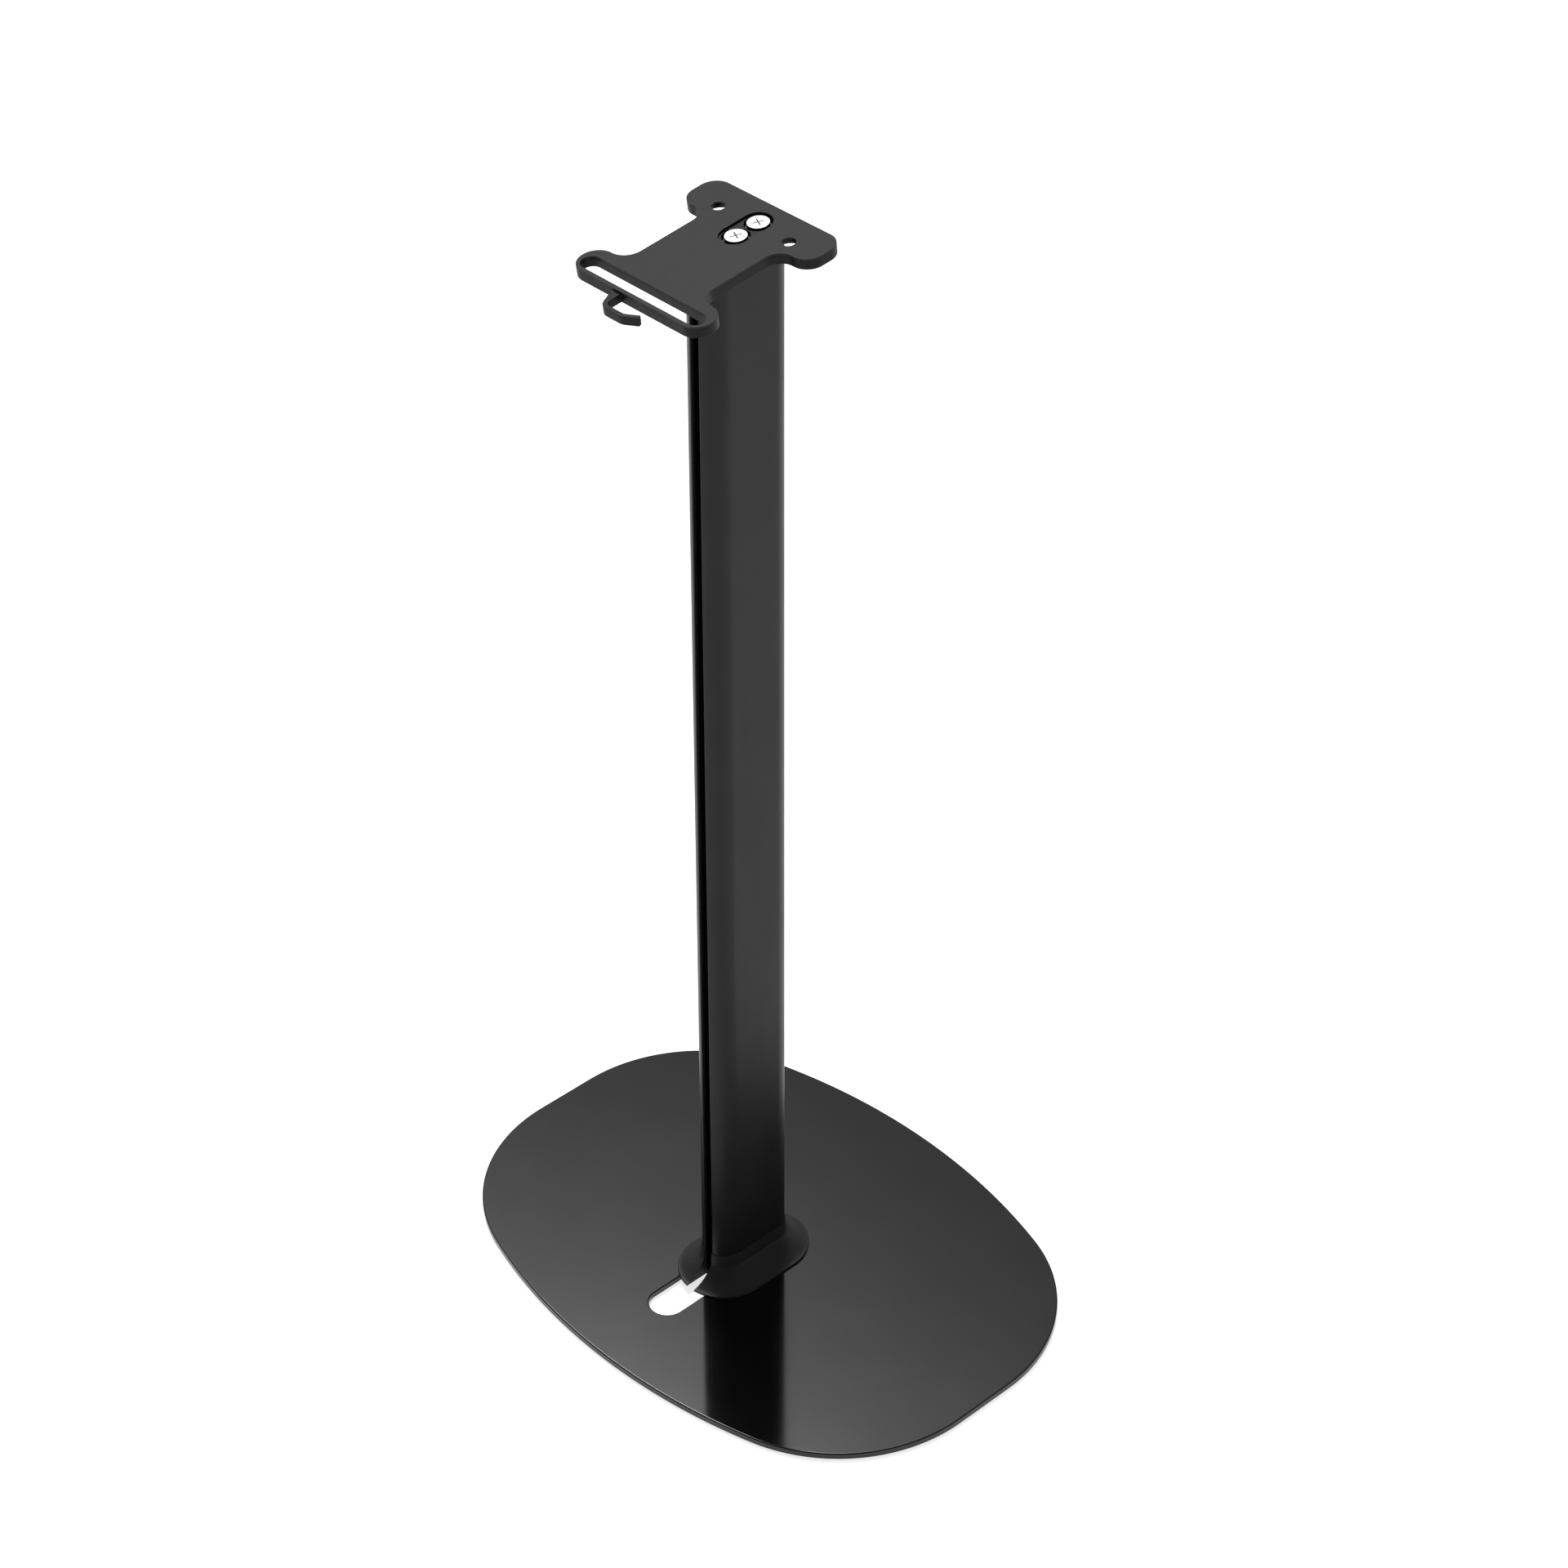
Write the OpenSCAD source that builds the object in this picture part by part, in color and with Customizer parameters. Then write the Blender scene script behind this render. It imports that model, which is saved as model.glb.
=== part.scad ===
// Speaker stand: a steel base plate, an extruded column with a cable channel, and a top
// bracket that tips down to the rear. The origin is on the floor, under the middle of the
// base plate. The front faces -Y, the cable slit and the cable hook face +Y.

/* [Stand] */
// Height of the pad's upper face above the floor, over the front bracket screw
stand_h = 699.7; // [400:0.1:900]
// Angle by which the top bracket tips down to the rear
tilt = 7; // [0:0.5:9]

/* [Base plate] */
// Width of the base plate, side to side
base_w = 371.2; // [350:0.2:400]
// Depth of the base plate, front to rear
base_d = 270.8; // [255:0.2:300]
// Radius of the four corners, seen from above
base_corner_r = 102.7; // [90:0.1:110]
// Radius of the bowed front and rear edges
base_bow_r = 385.4; // [320:0.2:450]
// Thickness of the steel plate
base_t = 4; // [3.6:0.1:8]
// Rounding of the plate's upper edge
base_edge_r = 0.9; // [0.4:0.1:1.5]
// Width of the cable slot behind the column
slot_w = 22.2; // [14:0.2:26]
// Distance of the slot's middle to the right of the column's middle
slot_x = 1.4; // [0:0.1:4]
// Distance from the middle of the base to the front end of the cable slot
slot_front = 42; // [38:0.5:46]
// Distance from the middle of the base to the rear end of the cable slot
slot_rear = 89.7; // [80:0.1:105]

/* [Grip pads under the base] */
// Diameter of one pad
foot_d = 16; // [10:1:22]
// Thickness of one pad
foot_t = 0.5; // [0.3:0.1:2]
// Distance of the corner pads in from the plate's sides
foot_side_inset = 57.6; // [45:0.2:100]
// Distance of the corner pads in from the plate's front and rear
foot_end_inset = 51.4; // [45:0.2:70]
// Distance of the two middle pads in from the plate's front and rear
foot_mid_inset = 20.4; // [14:0.2:25]

/* [Column] */
// Width of the column
column_w = 26.4; // [24.4:0.2:30]
// Length of each flat side
column_flat = 31.4; // [30.4:0.2:36]
// Distance of the column's middle behind the middle of the base
column_y = 18; // [8:0.5:24]
// Thickness of the column's wall
column_wall = 2.4; // [1.6:0.1:3]
// Thickness of the ribs inside the column
column_rib_t = 2; // [1.2:0.1:3]
// Width of the cable slit
slit_w = 6; // [4.6:0.1:9]
// Diameter of the two solid posts that take the screws
post_d = 12.6; // [11.6:0.1:13.6]

/* [Foot collar] */
// Height of the collar above the base plate
collar_h = 21; // [19:0.5:40]
// Distance from the column's side to the collar's rim
collar_spread = 14.8; // [10:0.2:18]
// Thickness of the rim
collar_rim_t = 1; // [0.6:0.1:2]
// Radius of the hollow curve that joins the rim and the column
collar_curve_r = 23; // [20:0.5:30]
// Slope of that curve at the rim
collar_rim_slope = 16.5; // [8:0.5:24]
// Wall of the sleeve above the curve
collar_lip = 0.6; // [0.4:0.1:1.2]
// Width of the collar's rear split
collar_slit_w = 6.4; // [4.6:0.1:9]

/* [Top bracket] */
// Thickness of the metal plate
bracket_t = 4.9; // [4.2:0.1:8]
// Overall width across the arms
bracket_w = 94.6; // [85:0.2:120]
// Length from the front edge to the rear edge, without the hook
bracket_len = 100.6; // [90:0.2:120]
// Distance from the front screw to the front edge
bracket_front = 14.6; // [12:0.1:24]
// Depth of the two front arms
front_arm_d = 25.7; // [20:0.1:32]
// Corner radius of the front arms
front_corner_r = 10; // [4:0.1:12]
// Depth of the two rear arms
rear_arm_d = 20.5; // [16:0.1:26]
// Width of the waist between the arms
waist_w = 53.3; // [40:0.1:60]
// Hollow corner between waist and front arms
front_fillet_r = 9; // [3:0.1:12]
// Hollow corner between waist and rear arms
rear_fillet_r = 10.2; // [3:0.1:12]
// Length of the cable slot across the rear arms
cable_slot_len = 88; // [60:0.5:92]
// Width of the cable slot
cable_slot_w = 10.4; // [6:0.1:12]
// Width of the bar behind the cable slot
rear_bar_w = 2.8; // [2:0.1:6]
// Distance between the two speaker holes
speaker_pitch = 51.4; // [40:0.1:70]
// Diameter of a speaker hole
speaker_hole_d = 7.3; // [5:0.1:9]
// Distance of the speaker holes behind the front screw
speaker_hole_y = 3.3; // [-4:0.1:8]
// Diameter of the recess under each speaker hole, for the head of the speaker's screw
speaker_recess_d = 15.6; // [12:0.1:17]
// Thickness of the metal left above that recess
speaker_floor_t = 1.4; // [1:0.1:3]

/* [Cable hook] */
// Width of the hook's arm
hook_w = 2.8; // [2:0.1:4]
// Width of the hook's root at the rear bar
hook_root_w = 6.3; // [4:0.1:9]
// Distance from the middle line to the inner side of the root
hook_x = 7.6; // [5:0.1:14]
// Depth of the gap inside the hook
hook_gap = 10.2; // [8.5:0.1:14]
// Inner radius of the hook's first bend
hook_bend_r = 3.6; // [1:0.1:5]
// Straight length between the two bends
hook_run = 8.7; // [3:0.1:10]
// Inner radius of the second bend, which turns the tip back to the bar
hook_tip_r = 6; // [4:0.1:12]
// Angle of that bend
hook_tip_turn = 29; // [20:1:34]
// Length of the straight tip
hook_tip_len = 7.2; // [4:0.1:9]
// Angle of the first bend at which the wide root runs into it
hook_root_turn = 24; // [10:1:40]

/* [Top pad] */
// Thickness of the grip pad on the bracket
pad_t = 1.2; // [0.6:0.1:2]
// Width of the pad's window round the screws
window_w = 16.6; // [15.6:0.1:20]
// Length of the window
window_len = 32.1; // [31:0.1:36]
// Distance of the window's middle behind the front screw
window_y = 8.4; // [8:0.1:9]

/* [Screws] */
// Thread diameter of all four column screws
screw_d = 6; // [5:0.1:6.4]
// Length of the thread below a screw head or washer
screw_len = 16; // [10:0.5:24]
// Distance between the two column screws
screw_pitch = 15.4; // [15.2:0.1:16]
// Diameter of the bright upper screw heads
head_d = 12.1; // [10:0.1:13.4]
// Height of the upper screw heads
head_h = 2.6; // [2.2:0.1:3]
// Depth of a screw head below the pad's upper face
head_sink = 0.55; // [0.2:0.05:1]
// Diameter of the washers under the upper heads
washer_d = 14; // [13:0.1:14.4]
// Thickness of these washers
washer_t = 0.8; // [0.5:0.1:1.2]
// Diameter of the counterbores that hold heads and washers
counterbore_d = 14.8; // [14.5:0.1:15]
// Diameter of the countersunk heads under the base
countersunk_d = 12; // [10:0.1:13]
// Length of the arms of the cross in a screw head
cross_len = 6.4; // [4:0.1:8]
// Width of the arms of the cross
cross_w = 1.3; // [0.8:0.1:2]
// Depth of the cross
cross_depth = 1.7; // [1:0.1:2]

/* [Clearances] */
// Gap round a screw in a plain hole, on each side
hole_gap = 0.3; // [0.1:0.05:0.8]
// Gap round a screw in its tapped hole, on each side
thread_gap = 0.05; // [0.02:0.01:0.1]
// Gap between the column and the collar
collar_gap = 0.2; // [0.1:0.05:0.4]

/* [Hidden] */

// Overrun of every cut past the face it leaves
over = 0.5 * foot_t;

// Levels
base_top = foot_t + base_t;
total_t = bracket_t + pad_t;

// Plan of the column: its flat sides run between the centres of its two round ends
column_r = column_w / 2;
front_y = column_y - column_flat / 2;
rear_y = column_y + column_flat / 2;
inner_r = column_r - column_wall;

// Tapped holes: the upper pair is square to the tilted bracket, so the posts are set
// forward by the distance that these holes lean within half their depth
tap_r = screw_d / 2 + thread_gap;
tap_depth = screw_len - (total_t - head_sink - head_h - washer_t) + screw_d / 3;
post_y1 = front_y - (total_t + tap_depth / 2) * sin(tilt);
post_y2 = post_y1 + screw_pitch * cos(tilt);
web_y = post_y2 + post_d / 2;
channel_y = web_y + column_rib_t;

// Plan of the base plate: each bow runs on past its tangent point by the joint angle and
// covers the start of the corner's rim, so the two never end in the same place
corner_x = base_w / 2 - base_corner_r;
bow_y = base_d / 2 - base_bow_r;
corner_y = bow_y + sqrt(pow(base_bow_r - base_corner_r, 2) - pow(corner_x, 2));
bow_angle = atan2(corner_x, corner_y - bow_y);
joint_angle = 0.2;
rim_w = 2 * base_t;
core_steps = 12;
edge_steps = 3;
slot_r = slot_w / 2;
bend_steps = 6;
root_share = 0.995;

// Collar
collar_curve_x = collar_spread + collar_curve_r * sin(collar_rim_slope);
collar_curve_z = collar_rim_t + collar_curve_r * cos(collar_rim_slope);

// Bracket, measured from the front screw in the tilted plane
front_edge = -bracket_front;
rear_edge = bracket_len - bracket_front;
rear_arm_y = rear_edge - rear_arm_d;
cable_slot_y = rear_edge - rear_bar_w - cable_slot_w / 2;

// Heads of the countersunk screws
screw_r = screw_d / 2;
countersunk_h = countersunk_d / 2 - screw_r;
countersunk_screw_len = base_t + screw_len - countersunk_h;

// Curve resolution of large and small rounds
fine = 360;
round_fn = 96;
small_fn = 48;

steel_black = [0.06, 0.06, 0.065];
gloss_black = [0.02, 0.02, 0.023];
pad_black = [0.11, 0.11, 0.115];
plastic_black = [0.09, 0.09, 0.095];
zinc = [0.82, 0.83, 0.85];
dark_steel = [0.2, 0.2, 0.21];

// The bracket's tilted frame: its origin lies over the front screw, on the pad's upper face
module tilted() {
    translate([0, front_y, stand_h]) rotate([-tilt, 0, 0]) children();
}

// Makes children at both signs of x
module both_sides() {
    for (side = [0, 1]) mirror([side, 0, 0]) children();
}

// Outline with straight sides and two round ends, along y from 0 to length
module slot_shape(width, length) {
    translate([-width / 2, 0]) square([width, length]);
    circle(d = width, $fn = round_fn);
    translate([0, length]) circle(d = width, $fn = round_fn);
}

// The same outline laid across the middle line, with its own overall length
module cross_slot(width, overall) {
    translate([(overall - width) / 2, 0]) rotate([0, 0, 90]) slot_shape(width, overall - width);
}

// Cross-head recess, opening upwards at z = 0
module cross_recess() {
    for (turn = [0, 90]) rotate([0, 0, turn])
        translate([-cross_len / 2, -cross_w / 2, -cross_depth])
            cube([cross_len, cross_w, cross_depth + over]);
}

// Section through the base plate's rim, from the inside out to radius r, with its upper edge
// eased in a few straight cuts that follow the rounding
module rim_section(r) {
    eased = [for (i = [0:edge_steps]) let(a = 90 * i / edge_steps)
        [r - base_edge_r * (1 - cos(a)), base_t - base_edge_r * (1 - sin(a))]];
    polygon(concat([[r - rim_w, 0], [r, 0]], eased, [[r - rim_w, base_t]]));
}

// Middle of the base plate, a polygon whose corners lie half way across the rim
module base_core() {
    bow_mid = base_bow_r - rim_w / 2;
    corner_mid = base_corner_r - rim_w / 2;
    shares = [for (i = [0:core_steps]) i / core_steps];
    quarter = concat(
        [for (share = shares) let(a = bow_angle * share)
            [bow_mid * sin(a), bow_y + bow_mid * cos(a)]],
        [for (share = shares) let(a = bow_angle + (90 - bow_angle) * share) if (share > 0)
            [corner_x + corner_mid * sin(a), corner_y + corner_mid * cos(a)]]
    );
    last = len(quarter) - 1;
    polygon([
        for (p = quarter) p,
        for (i = [last:-1:0]) [quarter[i][0], -quarter[i][1]],
        for (i = [1:last]) -quarter[i],
        for (i = [last:-1:1]) [-quarter[i][0], quarter[i][1]]
    ]);
}

// Rim of the bowed edge, a ring cut to the bow's angle
module bow_rim() {
    half = bow_angle + joint_angle;
    reach = 2 * base_bow_r;
    intersection() {
        rotate_extrude($fn = fine) rim_section(base_bow_r);
        translate([0, 0, -over]) linear_extrude(base_t + 2 * over)
            polygon([[0, 0], reach * [sin(half), cos(half)], reach * [-sin(half), cos(half)]]);
    }
}

module base_blank() {
    linear_extrude(base_t) base_core();
    for (end = [0, 1]) mirror([0, end, 0]) {
        translate([0, bow_y, 0]) bow_rim();
        both_sides() translate([corner_x, corner_y, 0]) {
            rotate_extrude(angle = 90 - bow_angle - 2 * joint_angle, $fn = fine)
                rim_section(base_corner_r);
            rotate([90, 0, 0]) linear_extrude(corner_y) rim_section(base_corner_r);
        }
    }
}

module base_plate() {
    color(gloss_black) translate([0, 0, foot_t]) difference() {
        base_blank();
        translate([slot_x, slot_front + slot_r, -over]) linear_extrude(base_t + 2 * over)
            slot_shape(slot_w, slot_rear - slot_front - slot_w);
        for (y = [post_y1, post_y2]) translate([0, y, 0]) {
            translate([0, 0, -over])
                cylinder(r = screw_r + hole_gap, h = base_t + 2 * over, $fn = small_fn);
            translate([0, 0, -over])
                cylinder(r1 = countersunk_d / 2 + hole_gap + over, r2 = screw_r + hole_gap,
                    h = countersunk_h + over, $fn = small_fn);
        }
    }
}

// Places of the six grip pads
foot_x = base_w / 2 - foot_side_inset;
foot_y = base_d / 2 - foot_end_inset;
foot_mid_y = base_d / 2 - foot_mid_inset;
foot_places = [
    [-foot_x, -foot_y], [foot_x, -foot_y], [-foot_x, foot_y], [foot_x, foot_y],
    [0, -foot_mid_y], [0, foot_mid_y]
];

module foot_pad(number) {
    color(pad_black) translate(foot_places[number - 1])
        cylinder(d = foot_d, h = foot_t, $fn = round_fn);
}

// Countersunk screw, head flush with the plate's underside, thread upwards
module base_screw(y) {
    color(dark_steel) translate([0, y, foot_t]) difference() {
        union() {
            cylinder(r1 = countersunk_d / 2, r2 = screw_r, h = countersunk_h, $fn = small_fn);
            translate([0, 0, countersunk_h])
                cylinder(r = screw_r, h = countersunk_screw_len, $fn = small_fn);
        }
        mirror([0, 0, 1]) cross_recess();
    }
}

// Section of the extruded column
module column_section() {
    difference() {
        union() {
            difference() {
                translate([0, front_y]) slot_shape(column_w, column_flat);
                translate([0, front_y]) slot_shape(2 * inner_r, column_flat);
            }
            for (y = [post_y1, post_y2]) translate([0, y]) {
                circle(d = post_d, $fn = small_fn);
                translate([-inner_r - column_wall / 2, -column_rib_t / 2])
                    square([2 * inner_r + column_wall, column_rib_t]);
            }
            translate([-inner_r - column_wall / 2, web_y])
                square([2 * inner_r + column_wall, column_rib_t]);
            translate([-column_rib_t / 2, post_y1])
                square([column_rib_t, channel_y - post_y1]);
        }
        translate([-slit_w / 2, rear_y]) square([slit_w, column_w]);
    }
}

module column() {
    color(steel_black) difference() {
        translate([0, 0, base_top]) linear_extrude(stand_h) column_section();
        tilted() translate([-base_w / 2, -base_w / 2, -total_t]) cube([base_w, base_w, stand_h]);
        tilted() for (y = [0, screw_pitch]) translate([0, y, -total_t - tap_depth])
            cylinder(r = tap_r, h = tap_depth + over, $fn = small_fn);
        for (y = [post_y1, post_y2]) translate([0, y, base_top - over])
            cylinder(r = tap_r, h = tap_depth + over, $fn = small_fn);
    }
}

// Half section of the collar, x measured from the column's centre of curvature
module collar_section() {
    inner = column_r + collar_gap;
    difference() {
        translate([inner, 0]) square([column_r + collar_spread - inner, collar_curve_z]);
        translate([column_r + collar_curve_x, collar_curve_z])
            circle(r = collar_curve_r, $fn = fine);
    }
    translate([inner, 0]) square([collar_lip, collar_h]);
}

module foot_collar() {
    color(plastic_black) translate([0, 0, base_top]) difference() {
        union() {
            translate([0, rear_y, 0]) rotate_extrude(angle = 180, $fn = fine) collar_section();
            translate([0, front_y, 0]) rotate([0, 0, 180])
                rotate_extrude(angle = 180, $fn = fine) collar_section();
            both_sides()
                translate([0, rear_y, 0]) rotate([90, 0, 0])
                    linear_extrude(column_flat) collar_section();
        }
        translate([-collar_slit_w / 2, rear_y, -over])
            cube([collar_slit_w, column_w + collar_spread, collar_h + 2 * over]);
    }
}

// The two front arms, one bar with rounded corners
module front_arms() {
    reach = bracket_w / 2 - front_corner_r;
    low = front_edge + front_corner_r;
    high = front_edge + front_arm_d - front_corner_r;
    translate([-reach, front_edge]) square([2 * reach, front_arm_d]);
    translate([-bracket_w / 2, low]) square([bracket_w, high - low]);
    for (x = [-reach, reach], y = [low, high])
        translate([x, y]) circle(r = front_corner_r, $fn = round_fn);
}

// Hollow corner of radius r in the angle between waist and arm, for the right side
module hollow_corner(r) {
    difference() {
        square([r, r]);
        translate([r, r]) circle(r = r, $fn = round_fn);
    }
}

// Outline of the plate, without holes and hook
module bracket_outline() {
    front_arms();
    translate([0, rear_arm_y + rear_arm_d / 2]) cross_slot(rear_arm_d, bracket_w);
    translate([-waist_w / 2, front_edge + front_arm_d / 2])
        square([waist_w, bracket_len - front_arm_d / 2 - rear_arm_d / 2]);
    both_sides() {
        translate([waist_w / 2, front_edge + front_arm_d]) hollow_corner(front_fillet_r);
        translate([waist_w / 2, rear_arm_y]) mirror([0, 1]) hollow_corner(rear_fillet_r);
    }
}

// Quarter of a ring, the first bend of the hook
module quarter_ring(inner, outer) {
    intersection() {
        difference() {
            circle(r = outer, $fn = round_fn);
            circle(r = inner, $fn = round_fn);
        }
        square(2 * [outer, outer]);
    }
}

// Straight run, second bend in a few straight cuts, and tip, seen from the bend's centre
module hook_tip() {
    outer_r = hook_tip_r + hook_w;
    last = 90 + hook_tip_turn;
    tip = hook_tip_len * [-sin(last), cos(last)];
    turns = [for (i = [0:bend_steps]) 90 + hook_tip_turn * i / bend_steps];
    polygon(concat(
        [[hook_run, hook_tip_r], [hook_run, outer_r]],
        [for (a = turns) outer_r * [cos(a), sin(a)]],
        [outer_r * [cos(last), sin(last)] + tip, hook_tip_r * [cos(last), sin(last)] + tip],
        [for (i = [bend_steps:-1:0]) hook_tip_r * [cos(turns[i]), sin(turns[i])]]
    ));
}

// Cable hook behind the rear bar: a wide root that runs slanting into the first bend, a
// straight run, and a tip that turns back
module hook_shape() {
    bend_y = hook_gap - hook_bend_r;
    bend_x = hook_x - hook_bend_r;
    outer_r = hook_bend_r + hook_w;
    root_end = root_share * outer_r * [cos(hook_root_turn), sin(hook_root_turn)];
    translate([0, rear_edge]) {
        polygon([[hook_x, -rear_bar_w / 2], [hook_x + hook_root_w, -rear_bar_w / 2],
            [hook_x + hook_root_w, 0], [bend_x, bend_y] + root_end, [hook_x, bend_y]]);
        translate([bend_x, bend_y]) quarter_ring(hook_bend_r, outer_r);
        translate([bend_x - hook_run, hook_gap - hook_tip_r]) hook_tip();
    }
}

// Openings that pass through both plate and pad
module shared_openings() {
    for (x = [-speaker_pitch / 2, speaker_pitch / 2])
        translate([x, speaker_hole_y]) circle(d = speaker_hole_d, $fn = small_fn);
    translate([0, cable_slot_y]) cross_slot(cable_slot_w, cable_slot_len);
}

module top_bracket() {
    color(steel_black) tilted() difference() {
        translate([0, 0, -total_t]) linear_extrude(bracket_t) difference() {
            union() {
                bracket_outline();
                hook_shape();
            }
            shared_openings();
        }
        for (y = [0, screw_pitch]) translate([0, y, 0]) {
            translate([0, 0, -total_t - over])
                cylinder(r = screw_r + hole_gap, h = total_t + over, $fn = small_fn);
            translate([0, 0, -head_sink - head_h - washer_t])
                cylinder(d = counterbore_d, h = total_t, $fn = round_fn);
        }
        both_sides() translate([speaker_pitch / 2, speaker_hole_y, -total_t - over])
            cylinder(d = speaker_recess_d, h = bracket_t - speaker_floor_t + over,
                $fn = round_fn);
    }
}

module top_pad() {
    color(pad_black) tilted() translate([0, 0, -pad_t]) linear_extrude(pad_t) difference() {
        bracket_outline();
        shared_openings();
        translate([0, window_y - window_len / 2 + window_w / 2])
            slot_shape(window_w, window_len - window_w);
    }
}

module top_washer(y) {
    color(dark_steel) tilted() translate([0, y, -head_sink - head_h - washer_t])
        linear_extrude(washer_t) difference() {
            circle(d = washer_d, $fn = round_fn);
            circle(r = screw_r + hole_gap, $fn = small_fn);
        }
}

module top_screw(y) {
    color(zinc) tilted() translate([0, y, -head_sink]) difference() {
        union() {
            translate([0, 0, -head_h]) cylinder(d = head_d, h = head_h, $fn = round_fn);
            translate([0, 0, -head_h - washer_t - screw_len])
                cylinder(r = screw_r, h = screw_len + washer_t + head_h / 2, $fn = small_fn);
        }
        cross_recess();
    }
}

base_plate();
foot_pad(1);  // foot_pad_1
foot_pad(2);  // foot_pad_2
foot_pad(3);  // foot_pad_3
foot_pad(4);  // foot_pad_4
foot_pad(5);  // foot_pad_5
foot_pad(6);  // foot_pad_6
base_screw(post_y1);  // base_screw_front
base_screw(post_y2);  // base_screw_rear
column();
foot_collar();
top_bracket();
top_pad();
top_washer(0);  // top_washer_front
top_washer(screw_pitch);  // top_washer_rear
top_screw(0);  // top_screw_front
top_screw(screw_pitch);  // top_screw_rear
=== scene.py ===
"""Looks of a speaker stand: a gloss base plate, a slim column with a cable slit down its rear,
a foot collar and a tilted top bracket, each built over its CAD node. Sizes are in millimetres
and turn into metres where a mesh is made."""
import math

import bpy
from mathutils import Matrix, Vector
from mathutils.geometry import delaunay_2d_cdt


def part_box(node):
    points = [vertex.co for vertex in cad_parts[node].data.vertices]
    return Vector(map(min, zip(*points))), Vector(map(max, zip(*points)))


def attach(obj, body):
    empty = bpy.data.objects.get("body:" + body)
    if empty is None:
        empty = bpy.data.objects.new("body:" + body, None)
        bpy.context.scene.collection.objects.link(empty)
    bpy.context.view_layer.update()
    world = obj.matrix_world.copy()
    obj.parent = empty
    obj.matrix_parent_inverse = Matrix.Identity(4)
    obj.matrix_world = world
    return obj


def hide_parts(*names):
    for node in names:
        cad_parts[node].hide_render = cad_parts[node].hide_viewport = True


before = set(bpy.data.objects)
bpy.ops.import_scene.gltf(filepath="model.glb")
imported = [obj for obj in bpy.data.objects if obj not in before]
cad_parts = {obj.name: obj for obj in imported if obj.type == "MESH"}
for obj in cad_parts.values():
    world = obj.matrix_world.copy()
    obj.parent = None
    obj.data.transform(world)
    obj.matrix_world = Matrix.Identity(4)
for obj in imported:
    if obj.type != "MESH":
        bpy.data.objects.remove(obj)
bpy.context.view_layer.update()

bl_info = {
    "name": "Speaker stand",
    "version": (1, 0, 0),
    "blender": (4, 2, 0),
    "location": "3D View > Sidebar > Stand",
    "description": "Builds the visible pieces of a speaker stand over its CAD frame",
    "category": "Add Mesh",
}

MM = 0.001


def box_mm(node):
    """Lowest and highest corner of a CAD node, in millimetres."""
    return [[round(v / MM, 3) for v in corner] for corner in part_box(node)]


# Read from the frame

BASE_LOW, BASE_HIGH = box_mm("base_plate")
BASE_BOTTOM, BASE_TOP = BASE_LOW[2], BASE_HIGH[2]
BASE_SCREW_Y = [(low[1] + high[1]) / 2
                for low, high in map(box_mm, ("base_screw_front", "base_screw_rear"))]

# Screws: the bright heads sink below the pad's upper face, on washers in counterbores

SCREW_PITCH = 15.4
HEAD_D = 12.1
HEAD_H = 2.6
HEAD_SINK = 0.55
WASHER_D = 14
WASHER_T = 0.8
WASHER_EDGE_R = 0.2
WASHER_UNDER_R = 0.1
COUNTERBORE_D = 14.8
SCREW_HOLE_R = 3.3
COUNTERSINK_R = 6.3
BRIGHT_ZINC = (0.88, 0.885, 0.895)
# Painted shade: near-black zinc for the heads' sides and cross and for the washers, where the
# screws sit in shade in their counterbores; the base screws get it too
PAINTED_SHADE_ZINC = (0.03, 0.03, 0.031)

# Base plate

BASE_CORNER_R = 102.7
BASE_BOW_R = 385.4
BASE_EDGE_R = 0.9
BASE_UNDER_R = 0.4
SLOT_W = 22.2
SLOT_X = 1.4
SLOT_FRONT = 42
SLOT_REAR = 89.7
FOOT_PADS = 6
RUBBER = (0.02, 0.02, 0.02)

# Column: its flat sides run between the centres of its two round ends

STAND_H = 699.7
TILT = 7.0
COLUMN_R = 13.2
COLUMN_FLAT = 31.4
COLUMN_Y = 18
COLUMN_WALL = 2.4
SLIT_W = 6
POST_D = 12.6
RIB_T = 2
FRONT_Y = COLUMN_Y - COLUMN_FLAT / 2
REAR_Y = COLUMN_Y + COLUMN_FLAT / 2
CHANNEL_Y = BASE_SCREW_Y[1] + POST_D / 2 + RIB_T
CHANNEL_CORNER_R = 1.0
# Shares of the column's height at which it has points
COLUMN_SHARES = (0, 0.002, 0.25, 0.5, 0.75, 0.998, 1)

# Foot collar: a hollow curve that ends in a slightly flatter rim, below a thin sleeve

COLLAR_H = 21
COLLAR_SPREAD = 14.8
COLLAR_RIM_T = 1
COLLAR_CURVE_R = 23
COLLAR_GAP = 0.2
COLLAR_LIP = 0.6
COLLAR_SLIT_W = 6.4
# Slopes in degrees: of the CAD part's curve at its rim, of the flatter rim, and where both meet
CURVE_SLOPE = 16.5
RIM_SLOPE = 9.0
EASE_SLOPE = 26.0
RIM_ROUND = 0.4
FOOT_ROUND = 0.15
# The sleeve gets thinner to its top: thickness over the column's side, height
SLEEVE = [(0.75, 17.0), (0.45, 20.85), (0.25, COLLAR_H)]
# Divisions of the rim, the curve, one rear quarter, one flat side and the front half circle
RIM_STEPS = 8
CURVE_STEPS = 20
REAR_STEPS = 30
FLAT_STEPS = 6
FRONT_STEPS = 60

# Top bracket and pad, seen square to the plate, with the front screw at the origin

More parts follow.
